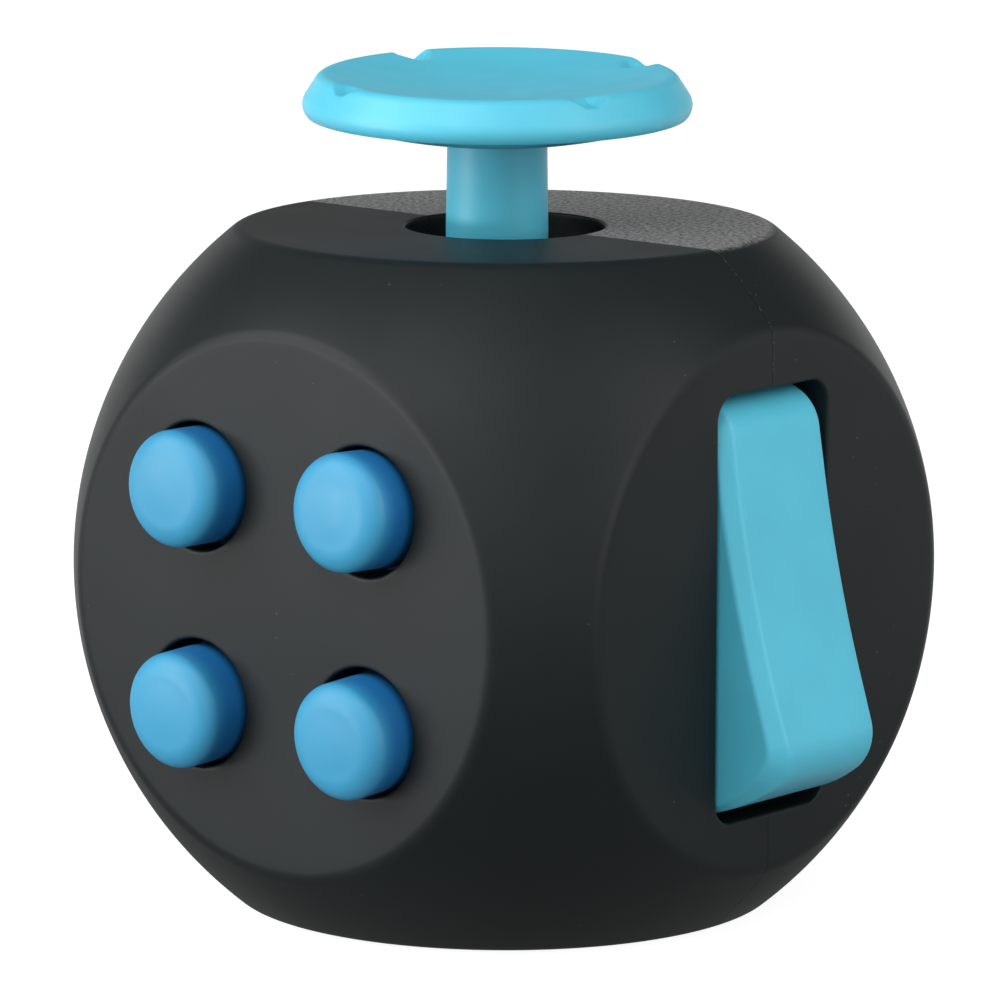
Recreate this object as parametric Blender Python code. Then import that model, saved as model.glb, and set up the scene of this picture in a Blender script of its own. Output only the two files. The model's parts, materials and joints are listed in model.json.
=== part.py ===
"""Fidget cube: a hollow cube with a ball's corners, in two halves, with a different control on each face.

Metres, +Z up. The origin is the middle of the flat underside. The four buttons face -Y, the rocker +X,
the joystick +Z, the dial -X, the rollers and the ball +Y, and the thumb pad -Z. Each face's pieces hang
from an empty at the cube's centre whose own +Z points out of that face, so that a height in such a frame
is a distance from the cube's centre. The casing parts at the plane y = 0.
"""

import math

import bmesh
import bpy
from mathutils import Matrix, Vector

# Casing
ACROSS_FLATS = 0.033
FACE = ACROSS_FLATS / 2
SPHERE_RADIUS = 0.021
WALL = 0.002
INNER_FACE = FACE - WALL
INNER_SPHERE = SPHERE_RADIUS - WALL
PARTING_GAP = 0.0001
CASING_PIN_PLACE = 0.0116
CASING_BOSS_RADIUS = 0.0014
CASING_PIN_RADIUS = 0.0006
CASING_PIN_LENGTH = 0.011
FAR = 0.03  # further out than any wall
HOLE_DEPTH = 0.0135  # further in than any wall

# Clearances
RUNNING_GAP = 0.0002
FLAT_GAP = 0.0001

# Joystick, with heights above its pivot
PIVOT = Vector((-0.0003, -0.00025, 0.0095))
LEAN_ABOUT_X = math.radians(1.43)
LEAN_ABOUT_Y = math.radians(1.2)
TOP_HOLE_RADIUS = 0.00486
STEM_RADIUS = 0.00248
STEM_NECK_RADIUS = 0.0015
STEM_TAIL = -0.0036
SPIGOT_RADIUS = 0.0014
HUB_RADIUS = 0.0023
CAP_UNDERSIDE = 0.01139
CAP_EQUATOR = (0.00942, 0.01299)
CAP_CREST = (0.00837, 0.01446)
CAP_DISH_CENTRE = 0.01355
CAP_NOTCHES = 4
CAP_NOTCH_TURN = math.radians(-19)
CAP_NOTCH_WIDTH = 0.0015
CAP_NOTCH_DEPTH = 0.0007
CAP_NOTCH_START = 0.0073
RING_INNER, RING_OUTER, RING_HALF_HEIGHT = 0.0028, 0.0042, 0.0011
TRUNNION_RADIUS, TRUNNION_END = 0.0007, 0.006
CROSS_PIN_RADIUS = 0.0006
CRADLE_INNER, CRADLE_OUTER = 0.005, 0.0064
CRADLE_FLOOR = -0.0052
CRADLE_FLOOR_THICK = 0.0008
CRADLE_FLOOR_HOLE = 0.0016
STICK_SPRING_RADIUS = 0.0024

# Buttons
BUTTON_PITCH = 0.0105
BUTTON_RADIUS = 0.00285
BUTTON_HOLE_RADIUS = 0.0031
BUTTON_PROUD = 0.00235
BUTTON_EDGE = 0.0009
BUTTON_DOME = 0.0001
BUTTON_FLANGE_RADIUS, BUTTON_FLANGE_THICK = 0.0036, 0.0008
BUTTON_SPRING_RADIUS = 0.00175
BUTTON_PLUNGER_RADIUS = 0.001
BUTTON_PLUNGER_END = 0.0096
GUIDE_PLATE = (0.0101, 0.0111)
GUIDE_PLATE_SIZE = (0.0214, 0.0146)
GUIDE_SCREW_PLACE = 0.0092
GUIDE_SCREW_RADIUS, GUIDE_BOSS_RADIUS = 0.0006, 0.0017

# Rocker, with its pivot's depth counted from the face
ROCKER_PIVOT = FACE - 0.0031
ROCKER_TILT = math.radians(13.4)
ROCKER_WIDTH = 0.0079
ROCKER_END_RADIUS = 0.01007
ROCKER_MIDDLE = 0.00475
ROCKER_FACE_RADIUS = 0.07
ROCKER_CORNER = (0.00527, 0.00858)
ROCKER_CORNER_RADIUS = 0.0015
ROCKER_EDGE = 0.0008
ROCKER_CAM = 0.0027
ROCKER_PIN_RADIUS = 0.00075
ROCKER_PIN_LENGTH = 0.0126
SLOT_WIDTH, SLOT_LENGTH, SLOT_CORNER = 0.0083, 0.02055, 0.0012
ROCKER_CHEEK = (0.0045, 0.0059)
ROCKER_CRADLE_BACK, ROCKER_CRADLE_HALF_HEIGHT = 0.006, 0.0036
CRADLE_PLATE = 0.001
CRADLE_FRONT = INNER_FACE - 0.0003

# Dial
DIAL_RADIUS = 0.0072
DIAL_BASE, DIAL_TOP = FACE + 0.0004, FACE + 0.0032
DIAL_FLUTES = 12
DIAL_SHAFT_RADIUS = 0.0016
DIAL_HOLE_RADIUS = 0.0034
DIAL_SHAFT_END = 0.0131
DIAL_SCREW_RADIUS, DIAL_SCREW_END = 0.00055, 0.0158

# Rollers and ball
ROLLER_TEETH = 14
ROLLER_TIP, ROLLER_ROOT = 0.0052, 0.0045
ROLLER_WIDTH, ROLLER_PITCH = 0.0032, 0.0037
ROLLER_AXIS_UP, ROLLER_AXIS_DEPTH = 0.0044, 0.0133
AXLE_RADIUS, AXLE_LENGTH = 0.00085, 0.014
ROLLER_SLOT = (0.0112, 0.0108)
ROLLER_CHEEK = (0.0059, 0.0071)
BALL_RADIUS = 0.0035
BALL_DOWN, BALL_DEPTH = 0.0066, 0.015
BALL_SOCKET = 0.00375
BALL_SEAT_RADIUS = 0.0042

# Thumb pad
PAD_RADIUS, PAD_HOLE_RADIUS, PAD_FLANGE_RADIUS = 0.0093, 0.0096, 0.0102
PAD_RIM = FACE - 0.0002
PAD_DISH = 0.0024
PAD_THICK = 0.0012

# Smoothness
SHARP_ANGLE = math.radians(35)
ROUND = 32
SMALL_ROUND = 16


def clear_scene():
    for obj in list(bpy.data.objects):
        bpy.data.objects.remove(obj, do_unlink=True)


def material(name, colour, roughness, metallic=0.0):
    made = bpy.data.materials.new(name)
    made.use_nodes = True
    shader = made.node_tree.nodes["Principled BSDF"]
    shader.inputs["Base Color"].default_value = (*colour, 1.0)
    shader.inputs["Roughness"].default_value = roughness
    shader.inputs["Metallic"].default_value = metallic
    return made


def empty(name, location=(0, 0, 0), turn=(0, 0, 0), parent=None):
    made = bpy.data.objects.new(name, None)
    bpy.context.scene.collection.objects.link(made)
    made.location = location
    made.rotation_euler = turn
    made.parent = parent
    return made


def node(name, bm, finish, parent, location=(0, 0, 0), turn=(0, 0, 0)):
    """One named object from a bmesh, shaded smooth between its sharp edges."""
    mesh = bpy.data.meshes.new(name)
    bmesh.ops.recalc_face_normals(bm, faces=bm.faces)
    bm.to_mesh(mesh)
    bm.free()
    mesh.shade_smooth()
    mesh.set_sharp_from_angle(angle=SHARP_ANGLE)
    if finish:
        mesh.materials.append(finish)
    made = bpy.data.objects.new(name, mesh)
    bpy.context.scene.collection.objects.link(made)
    made.location = location
    made.rotation_euler = turn
    made.parent = parent
    return made


def cutter(name, bm, parent, location=(0, 0, 0), turn=(0, 0, 0)):
    made = node(name, bm, None, parent, location, turn)
    made.hide_render = True
    made.display_type = "WIRE"
    return made


def boolean(target, tool, operation="DIFFERENCE"):
    modifier = target.modifiers.new(f"{operation.lower()} {tool.name}", "BOOLEAN")
    modifier.operation = operation
    modifier.object = tool
    modifier.solver = "EXACT"


def turned(profile, segments=ROUND):
    """A solid turned about Z from (radius, height) points, from axis to axis or in a loop clear of it."""
    bm = bmesh.new()
    verts = [bm.verts.new((radius, 0, height)) for radius, height in profile]
    ends = list(zip(verts, verts[1:]))
    if profile[0][0] > 0:
        ends.append((verts[-1], verts[0]))
    edges = [bm.edges.new(pair) for pair in ends]
    about = {"axis": (0, 0, 1), "cent": (0, 0, 0), "angle": 2 * math.pi}
    bmesh.ops.spin(bm, geom=verts + edges, steps=segments, use_merge=True, **about)
    bmesh.ops.remove_doubles(bm, verts=bm.verts, dist=1e-6)
    return bm


def rod(radius, low, high, segments=SMALL_ROUND):
    return turned([(0, low), (radius, low), (radius, high), (0, high)], segments)


def tube(inner, outer, low, high, segments=ROUND):
    return turned([(inner, low), (outer, low), (outer, high), (inner, high)], segments)


def ball(radius, segments=24, rings=12):
    bm = bmesh.new()
    bmesh.ops.create_uvsphere(bm, u_segments=segments, v_segments=rings, radius=radius)
    return bm


def box(low, high):
    bm = bmesh.new()
    size = Vector(high) - Vector(low)
    middle = (Vector(high) + Vector(low)) / 2
    bmesh.ops.create_cube(bm, size=1, matrix=Matrix.Translation(middle) @ Matrix.Diagonal((*size, 1)))
    return bm


def prism(outline, low, high):
    """The outline in X and Y, extruded from one height to the other."""
    bm = bmesh.new()
    base = bm.faces.new([bm.verts.new((x, y, low)) for x, y in outline])
    grown = bmesh.ops.extrude_face_region(bm, geom=[base])["geom"]
    tops = [part for part in grown if isinstance(part, bmesh.types.BMVert)]
    bmesh.ops.translate(bm, vec=(0, 0, high - low), verts=tops)
    return bm


def arc(radius, start, end, steps, centre=(0, 0)):
    """Points along an arc, angles in degrees from +X."""
    angles = [math.radians(start + (end - start) * i / steps) for i in range(steps + 1)]
    return [(centre[0] + radius * math.cos(a), centre[1] + radius * math.sin(a)) for a in angles]


def rounded(corners, steps=4):
    """An outline through (x, y, radius) corners, with an arc in place of each corner that has a radius."""
    points = []
    for i, (x, y, radius) in enumerate(corners):
        corner = Vector((x, y))
        if not radius:
            points.append(corner)
            continue
        before = (Vector(corners[i - 1][:2]) - corner).normalized()
        after = (Vector(corners[(i + 1) % len(corners)][:2]) - corner).normalized()
        half = before.angle(after) / 2
        centre = corner + (before + after).normalized() * radius / math.sin(half)
        start = corner + before * radius / math.tan(half) - centre
        end = corner + after * radius / math.tan(half) - centre
        sweep = -start.angle_signed(end)
        points += [centre + Matrix.Rotation(sweep * k / steps, 2) @ start for k in range(steps + 1)]
    return points


def rounded_rectangle(width, height, radius, steps=3):
    x, y = width / 2, height / 2
    return rounded([(x, y, radius), (-x, y, radius), (-x, -y, radius), (x, -y, radius)], steps)


def coil(name, finish, parent, radius, wire, low, high, turns, centre=(0, 0), steps=8):
    """A coil spring about the parent's Z, its wire's middle running between the two heights."""
    curve = bpy.data.curves.new(name, "CURVE")
    curve.dimensions = "3D"
    curve.bevel_depth = wire
    curve.bevel_resolution = 1
    curve.use_fill_caps = True
    spline = curve.splines.new("POLY")
    count = int(turns * steps)
    spline.points.add(count)
    for i, point in enumerate(spline.points):
        angle = 2 * math.pi * i / steps
        height = low + (high - low) * i / count
        point.co = (radius * math.cos(angle), radius * math.sin(angle), height, 1)
    curve.materials.append(finish)
    made = bpy.data.objects.new(name, curve)
    bpy.context.scene.collection.objects.link(made)
    made.location = (*centre, 0)
    made.parent = parent
    return made


def spherical_cube(name, sphere_radius, half, segments, rings):
    """A sphere cut by six flats, poles along Y. An odd ring count leaves the parting plane clear."""
    made = cutter(name, ball(sphere_radius, segments, rings), centre, turn=(math.pi / 2, 0, 0))
    flats = cutter(f"{name}_flats", box((-half,) * 3, (half,) * 3), centre)
    boolean(made, flats, "INTERSECT")
    return made


def casing_pin_places():
    return [(x * CASING_PIN_PLACE, z * CASING_PIN_PLACE) for z in (1, -1) for x in (1, -1)]


def make_hollow():
    """The space inside the casing, leaving out the bosses that stand in it."""
    hollow = spherical_cube("hollow", INNER_SPHERE, INNER_FACE, 28, 15)
    for i, (x, z) in enumerate(casing_pin_places(), 1):
        boss = rod(CASING_BOSS_RADIUS, -FAR, FAR)
        boolean(hollow, cutter(f"casing_boss_{i}", boss, front_face, (x, z, 0)))
    for i, x in enumerate((GUIDE_SCREW_PLACE, -GUIDE_SCREW_PLACE), 1):
        boss = rod(GUIDE_BOSS_RADIUS, GUIDE_PLATE[1] + RUNNING_GAP, FAR)
        boolean(hollow, cutter(f"guide_boss_{i}", boss, front_face, (x, 0, 0)))
    return hollow


def front_cutters():
    holes = [
        cutter(f"button_hole_{i}", rod(BUTTON_HOLE_RADIUS, HOLE_DEPTH, FAR, ROUND), front_face, (x, y, 0))
        for i, (x, y) in enumerate(button_places(), 1)
    ]
    for i, x in enumerate((GUIDE_SCREW_PLACE, -GUIDE_SCREW_PLACE), 1):
        bore = rod(GUIDE_SCREW_RADIUS + RUNNING_GAP, 0.0105, 0.0138, 12)
        holes.append(cutter(f"guide_screw_bore_{i}", bore, front_face, (x, 0, 0)))
    return holes


def rear_cutters():
    slot = prism(rounded_rectangle(*ROLLER_SLOT, 0.0008), HOLE_DEPTH, FAR)
    socket = ball(BALL_SOCKET)
    return [
        cutter("roller_slot", slot, rear_face, (0, -ROLLER_AXIS_UP, 0)),
        cutter("ball_socket", socket, rear_face, (0, BALL_DOWN, BALL_DEPTH)),
    ]


def shared_cutters():
    """What both halves of the casing are cut by: the holes that the parting plane runs through."""
    slot = prism(rounded_rectangle(SLOT_LENGTH, SLOT_WIDTH, SLOT_CORNER), HOLE_DEPTH, FAR)
    tools = [
        cutter("top_hole", rod(TOP_HOLE_RADIUS, HOLE_DEPTH, FAR, 40), top_face),
        cutter("pad_hole", rod(PAD_HOLE_RADIUS, HOLE_DEPTH, FAR, 48), under_face),
        cutter("rocker_slot", slot, right_face),
        cutter("dial_hole", rod(DIAL_HOLE_RADIUS, HOLE_DEPTH, FAR, ROUND), left_face),
    ]
    half = CASING_PIN_LENGTH / 2 + RUNNING_GAP
    for i, (x, z) in enumerate(casing_pin_places(), 1):
        bore = rod(CASING_PIN_RADIUS + RUNNING_GAP, -half, half)
        tools.append(cutter(f"casing_pin_bore_{i}", bore, front_face, (x, z, 0)))
    return tools


def make_casing():
    hollow = make_hollow()
    shared = shared_cutters()
    halves = (
        ("front_shell", -1, smooth_black, front_cutters()),
        ("rear_shell", 1, grained_black, rear_cutters()),
    )
    for name, side, finish, own in halves:
        near, far = sorted((side * PARTING_GAP / 2, side * FAR))
        half = cutter(f"{name}_side", box((-FAR, near, -FAR), (FAR, far, FAR)), centre)
        shell = node(name, ball(SPHERE_RADIUS, 48, 23), finish, centre, turn=(math.pi / 2, 0, 0))
        flats = cutter(f"{name}_flats", box((-FACE,) * 3, (FACE,) * 3), centre)
        boolean(shell, flats, "INTERSECT")
        boolean(shell, half, "INTERSECT")
        for tool in (hollow, *shared, *own):
            boolean(shell, tool)
    for i, (x, z) in enumerate(casing_pin_places(), 1):
        pin = rod(CASING_PIN_RADIUS, -CASING_PIN_LENGTH / 2, CASING_PIN_LENGTH / 2, 12)
        node(f"casing_pin_{i}", pin, steel, front_face, (x, z, 0))


def dish_profile(radius, edge, depth, steps):
    """(radius, height) points of a spherical dish, from its middle out to its edge."""
    curve = (radius**2 + depth**2) / (2 * depth)
    out = [radius * i / steps for i in range(steps + 1)]
    return [(r, edge - depth + curve - math.sqrt(curve**2 - r**2)) for r in out]


def make_thumb_pad():
    outside = dish_profile(PAD_RADIUS - 0.0006, PAD_RIM, PAD_DISH, 5)
    inside = dish_profile(PAD_RADIUS - 0.0006, PAD_RIM - 0.0027, 0.0012, 3)
    rim = [
        (PAD_RADIUS - 0.0002, PAD_RIM),
        (PAD_RADIUS, PAD_RIM - 0.0002),
        (PAD_RADIUS, INNER_FACE - 0.0003),
        (PAD_FLANGE_RADIUS, INNER_FACE - 0.0003),
        (PAD_FLANGE_RADIUS, INNER_FACE - PAD_THICK),
    ]
    node("thumb_pad", turned(outside + rim + inside[::-1], 36), smooth_black, under_face)


def cap_notches():
    """Short wedges across the cap's rim, point down."""
    bm = bmesh.new()
    half, low, high = CAP_NOTCH_WIDTH / 2, CAP_CREST[1] - CAP_NOTCH_DEPTH, CAP_CREST[1] + CAP_NOTCH_DEPTH
    for i in range(CAP_NOTCHES):
        turn = Matrix.Rotation(CAP_NOTCH_TURN + 2 * math.pi * i / CAP_NOTCHES, 4, "Z")
        section = [(-2 * half, high), (-half / 3, low), (half / 3, low), (2 * half, high)]
        reach = (CAP_NOTCH_START, CAP_EQUATOR[0] + 0.001)
        ends = [[bm.verts.new(turn @ Vector((r, y, z))) for y, z in section] for r in reach]
        bm.faces.new(ends[0])
        bm.faces.new(ends[1][::-1])
        for a in range(4):
            b = (a + 1) % 4
            bm.faces.new((ends[0][b], ends[0][a], ends[1][a], ends[1][b]))
    return bm


def make_joystick():
    gimbal_pivot = empty("gimbal_pivot", PIVOT, (LEAN_ABOUT_X, 0, 0), top_face)
    stick_pivot = empty("stick_pivot", turn=(0, LEAN_ABOUT_Y, 0), parent=gimbal_pivot)
    sideways = (math.pi / 2, 0, 0)
    across = (0, math.pi / 2, 0)

    dish = dish_profile(CAP_CREST[0] - 0.0004, CAP_CREST[1] - 0.00005, CAP_CREST[1] - CAP_DISH_CENTRE, 6)
    bore = SPIGOT_RADIUS + RUNNING_GAP
    flank = [
        CAP_CREST,
        (CAP_CREST[0] + 0.00035, CAP_CREST[1] - 0.0002),
        (CAP_EQUATOR[0] - 0.0001, CAP_EQUATOR[1] + 0.0003),
        CAP_EQUATOR,
        (0.0093, 0.01258),
        (0.008, 0.01215),
        (0.006, 0.01168),
        (0.004, 0.01143),
        (bore, CAP_UNDERSIDE),
        (bore, CAP_UNDERSIDE + 0.0014),
        (0, CAP_UNDERSIDE + 0.0014),
    ]
    cap = node("joystick_cap", turned(dish + flank), turquoise, stick_pivot)
    boolean(cap, cutter("cap_notches", cap_notches(), stick_pivot))

    shoulder = CAP_UNDERSIDE - FLAT_GAP
    hub = [(r, h) for h, r in arc(HUB_RADIUS, 40, 140, 6)]
    stem = [
        (0, CAP_UNDERSIDE + 0.0011),
        (SPIGOT_RADIUS, CAP_UNDERSIDE + 0.0011),
        (SPIGOT_RADIUS, shoulder),
        (STEM_RADIUS - 0.00006, shoulder),
        (STEM_RADIUS, 0.007),
        (STEM_RADIUS, 0.0052),
        (STEM_NECK_RADIUS, 0.0042),
        *hub,
        (0.0011, -0.0021),
        (0.0011, STEM_TAIL),
        (0, STEM_TAIL),
    ]
    stem = node("joystick_stem", turned(stem, 20), turquoise, stick_pivot)
    hub_bore = rod(CROSS_PIN_RADIUS + RUNNING_GAP, -0.005, 0.005)
    boolean(stem, cutter("hub_bore", hub_bore, stick_pivot, turn=sideways))

    band = tube(RING_INNER, RING_OUTER, -RING_HALF_HEIGHT, RING_HALF_HEIGHT, 24)
    ring = node("gimbal_ring", band, white_nylon, gimbal_pivot)
    for side in (1, -1):
        low, high = sorted((side * (RING_OUTER - 0.0004), side * TRUNNION_END))
        trunnion = rod(TRUNNION_RADIUS, low, high, 12)
        boolean(ring, cutter(f"trunnion_{side + 2}", trunnion, gimbal_pivot, turn=across), "UNION")
    pin_bore = rod(CROSS_PIN_RADIUS + RUNNING_GAP, -0.005, 0.005)
    boolean(ring, cutter("cross_pin_bore", pin_bore, gimbal_pivot, turn=sideways))
    pin = rod(CROSS_PIN_RADIUS, -RING_OUTER + 0.0002, RING_OUTER - 0.0002, 12)
    node("gimbal_cross_pin", pin, steel, gimbal_pivot, turn=sideways)

    top = INNER_FACE - 0.0003 - PIVOT.z
    profile = [
        (CRADLE_FLOOR_HOLE, CRADLE_FLOOR),
        (CRADLE_OUTER, CRADLE_FLOOR),
        (CRADLE_OUTER, top),
        (CRADLE_INNER, top),
        (CRADLE_INNER, CRADLE_FLOOR + CRADLE_FLOOR_THICK),
        (CRADLE_FLOOR_HOLE, CRADLE_FLOOR + CRADLE_FLOOR_THICK),
    ]
    cradle = node("joystick_cradle", turned(profile), dark_nylon, top_face, PIVOT)
    saddle = rod(TRUNNION_RADIUS + RUNNING_GAP, -0.008, 0.008)
    boolean(cradle, cutter("trunnion_bore", saddle, top_face, PIVOT, across))
    low = PIVOT.z + CRADLE_FLOOR + CRADLE_FLOOR_THICK + 0.0004
    high = low + 0.0014
    coil("joystick_spring", spring_steel, top_face, STICK_SPRING_RADIUS, 0.0002, low, high, 2.5, PIVOT[:2])


def button_places():
    """From the top left to the bottom right, as seen from in front."""
    half = BUTTON_PITCH / 2
    return [(x * half, y * half) for y in (1, -1) for x in (-1, 1)]


def make_buttons():
    front = FACE + BUTTON_PROUD
    flange = INNER_FACE - RUNNING_GAP
    edge = arc(BUTTON_EDGE, 0, 85, 4, (BUTTON_RADIUS - BUTTON_EDGE, front - BUTTON_DOME - BUTTON_EDGE))
    profile = [
        (0, BUTTON_PLUNGER_END),
        (BUTTON_PLUNGER_RADIUS, BUTTON_PLUNGER_END),
        (BUTTON_PLUNGER_RADIUS, flange - BUTTON_FLANGE_THICK),
        (BUTTON_FLANGE_RADIUS, flange - BUTTON_FLANGE_THICK),
        (BUTTON_FLANGE_RADIUS, flange),
        (BUTTON_RADIUS, flange),
        *edge,
        (0, front),
    ]
    outline = rounded_rectangle(*GUIDE_PLATE_SIZE, 0.0015)
    plate = node("button_guide_plate", prism(outline, *GUIDE_PLATE), dark_nylon, front_face)
    low, high = GUIDE_PLATE[1] + 0.0004, flange - BUTTON_FLANGE_THICK - 0.0004
    for i, (x, y) in enumerate(button_places(), 1):
        node(f"button_{i}", turned(profile, 22), blue, front_face, (x, y, 0))
        name = f"button_spring_{i}"
        coil(name, spring_steel, front_face, BUTTON_SPRING_RADIUS, 0.0002, low, high, 2.5, (x, y))
        hole = rod(BUTTON_PLUNGER_RADIUS + RUNNING_GAP, 0.009, 0.012)
        boolean(plate, cutter(f"plunger_hole_{i}", hole, front_face, (x, y, 0)))
    under_head = GUIDE_PLATE[0] - FLAT_GAP
    screw = [
        (0, under_head - 0.0008),
        (0.0011, under_head - 0.0008),
        (0.0013, under_head),
        (GUIDE_SCREW_RADIUS, under_head),
        (GUIDE_SCREW_RADIUS, 0.0133),
        (0, 0.0133),
    ]
    for i, x in enumerate((GUIDE_SCREW_PLACE, -GUIDE_SCREW_PLACE), 1):
        node(f"guide_screw_{i}", turned(screw, 12), steel, front_face, (x, 0, 0))
        hole = rod(GUIDE_SCREW_RADIUS + RUNNING_GAP, 0.009, 0.012)
        boolean(plate, cutter(f"guide_screw_hole_{i}", hole, front_face, (x, 0, 0)))


def rocker_outline():
    """The paddle's side in (out, up) from its pivot: a hollow face, round ends and a cam behind."""
    out, up = ROCKER_CORNER
    end = 88
    hollow = [
        (ROCKER_MIDDLE + ROCKER_FACE_RADIUS - math.sqrt(ROCKER_FACE_RADIUS**2 - y**2), y, 0)
        for y in (up * k / 3 for k in (-2, -1, 0, 1, 2))
    ]
    upper = [(x, y, 0) for x, y in arc(ROCKER_END_RADIUS, 71, end, 3)]
    back = [(0.0003, 0.008, 0.0005), (-0.0012, 0.003, 0), (-0.002, 0.0016, 0)]
    below = [(x, -y, radius) for x, y, radius in reversed(upper + back)]
    corners = [(out, -up, ROCKER_CORNER_RADIUS), *hollow, (out, up, ROCKER_CORNER_RADIUS)]
    return rounded(corners + upper + back + [(-ROCKER_CAM, 0, 0.0004)] + below)


def make_rocker():
    place = (ROCKER_PIVOT, 0, 0)
    on_edge = (math.pi / 2, 0, 0)
    pivot = empty("rocker_pivot", place, on_edge, centre)
    half = ROCKER_WIDTH / 2
    side = prism(rocker_outline(), -half, half)
    paddle = node("rocker_paddle", side, turquoise, pivot, turn=(0, 0, ROCKER_TILT))
    bevel = paddle.modifiers.new("edges", "BEVEL")
    bevel.width = ROCKER_EDGE
    bevel.segments = 2
    bevel.limit_method = "ANGLE"
    bevel.angle_limit = math.radians(60)
    bore = ROCKER_PIN_RADIUS + RUNNING_GAP
    boolean(paddle, cutter("paddle_bore", rod(bore, -0.01, 0.01), pivot))
    length = ROCKER_PIN_LENGTH / 2
    node("rocker_pin", rod(ROCKER_PIN_RADIUS, -length, length), steel, pivot)

    inner, outer = ROCKER_CHEEK
    back, front = ROCKER_CRADLE_BACK, CRADLE_FRONT
    section = [(back, -outer), (front, -outer), (front, -inner), (back + CRADLE_PLATE, -inner)]
    section += [(x, -y) for x, y in reversed(section)]
    height = ROCKER_CRADLE_HALF_HEIGHT
    cradle = node("rocker_cradle", prism(section, -height, height), dark_nylon, centre)
    boolean(cradle, cutter("rocker_pin_bore", rod(bore, -0.01, 0.01), pivot))
    boolean(cradle, cutter("plunger_bore", rod(0.0009, 0.005, 0.0085), right_face))

    tip = ROCKER_PIVOT - ROCKER_CAM - RUNNING_GAP
    nose = [(r, h) for h, r in arc(0.0013, 0, 75, 4, (tip - 0.0013, 0))]
    plunger = [*nose, (0.0013, tip - 0.0017), (0.0007, tip - 0.0017), (0.0007, 0.0062), (0, 0.0062)]
    node("detent_plunger", turned(plunger, 20), steel, right_face)
    low, high = back + CRADLE_PLATE + 0.0003, tip - 0.002
    coil("detent_spring", spring_steel, right_face, 0.0011, 0.00015, low, high, 3.5)


def dial_flutes():
    bm = bmesh.new()
    for i in range(DIAL_FLUTES):
        turn = Matrix.Rotation(2 * math.pi * i / DIAL_FLUTES, 4, "Z")
        place = turn @ Matrix.Translation((DIAL_RADIUS + 0.0005, 0, (DIAL_BASE + DIAL_TOP) / 2))
        bmesh.ops.create_cone(
            bm, cap_ends=True, segments=10, radius1=0.001, radius2=0.001, depth=0.006, matrix=place
        )
    return bm


def make_dial():
    top, base, radius = DIAL_TOP, DIAL_BASE, DIAL_RADIUS
    bore = 0.0008
    profile = [
        *dish_profile(radius - 0.0011, top - 0.0001, 0.0006, 4),
        *arc(0.0007, 75, 0, 3, (radius - 0.0007, top - 0.0007)),
        (radius, base),
        (DIAL_SHAFT_RADIUS, base),
        (DIAL_SHAFT_RADIUS, DIAL_SHAFT_END),
        (bore, DIAL_SHAFT_END),
        (bore, 0.0164),
        (0, 0.0164),
    ]
    knob = node("dial_knob", turned(profile, 24), turquoise, left_face)
    boolean(knob, cutter("dial_flutes", dial_flutes(), left_face))
    bushing = [
        (0.0018, 0.0134),
        (0.0044, 0.0134),
        (0.0044, INNER_FACE - RUNNING_GAP),
        (0.0031, INNER_FACE - RUNNING_GAP),
        (0.0031, FACE),
        (0.0018, FACE),
    ]
    node("dial_bushing", turned(bushing, 24), white_nylon, left_face)
    under = DIAL_SHAFT_END - FLAT_GAP
    node("dial_washer", tube(0.00075, 0.0028, under - 0.0005, under, 20), steel, left_face)
    head = under - 0.0005 - FLAT_GAP
    screw = [
        (0, head - 0.0008),
        (0.0013, head - 0.0008),
        (0.0015, head),
        (DIAL_SCREW_RADIUS, head),
        (DIAL_SCREW_RADIUS, DIAL_SCREW_END),
        (0, DIAL_SCREW_END),
    ]
    node("dial_screw", turned(screw, 12), steel, left_face)


def roller_outline():
    """Blunt gear teeth: each has a root, a rising flank and a tip."""
    points = []
    for i in range(ROLLER_TEETH):
        for turn, radius in ((0.0, ROLLER_ROOT), (0.3, ROLLER_ROOT), (0.45, ROLLER_TIP), (0.85, ROLLER_TIP)):
            angle = 2 * math.pi * (i + turn) / ROLLER_TEETH
            points.append((radius * math.cos(angle), radius * math.sin(angle)))
    return points


def make_rollers():
    axis = empty("roller_axis", (0, -ROLLER_AXIS_UP, ROLLER_AXIS_DEPTH), (0, math.pi / 2, 0), rear_face)
    bore = cutter("roller_bore", rod(AXLE_RADIUS + RUNNING_GAP, -0.01, 0.01), axis)
    for i in range(3):
        gear = prism(roller_outline(), -ROLLER_WIDTH / 2, ROLLER_WIDTH / 2)
        roller = node(f"roller_gear_{i + 1}", gear, white_nylon, axis, (0, 0, (i - 1) * ROLLER_PITCH))
        boolean(roller, bore)
    node("roller_axle", rod(AXLE_RADIUS, -AXLE_LENGTH / 2, AXLE_LENGTH / 2), steel, axis)
    inner, outer = ROLLER_CHEEK
    section = [(-outer, 0.002), (-outer, -0.008), (-inner, -0.008), (-inner, 0.0011)]
    section += [(-x, y) for x, y in reversed(section)]
    bracket = node("roller_cradle", prism(section, 0.0096, CRADLE_FRONT), dark_nylon, rear_face)
    boolean(bracket, cutter("axle_bore", rod(AXLE_RADIUS + RUNNING_GAP, -0.01, 0.01), axis))


def make_ball():
    place = (0, BALL_DOWN, BALL_DEPTH)
    node("rolling_ball", ball(BALL_RADIUS, 20, 10), steel, rear_face, place)
    seat = rod(BALL_SEAT_RADIUS, 0.0098, CRADLE_FRONT, 24)
    seat = node("ball_seat", seat, dark_nylon, rear_face, (0, BALL_DOWN, 0))
    boolean(seat, cutter("ball_seat_recess", ball(BALL_SOCKET + 0.00005), rear_face, place))


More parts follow.
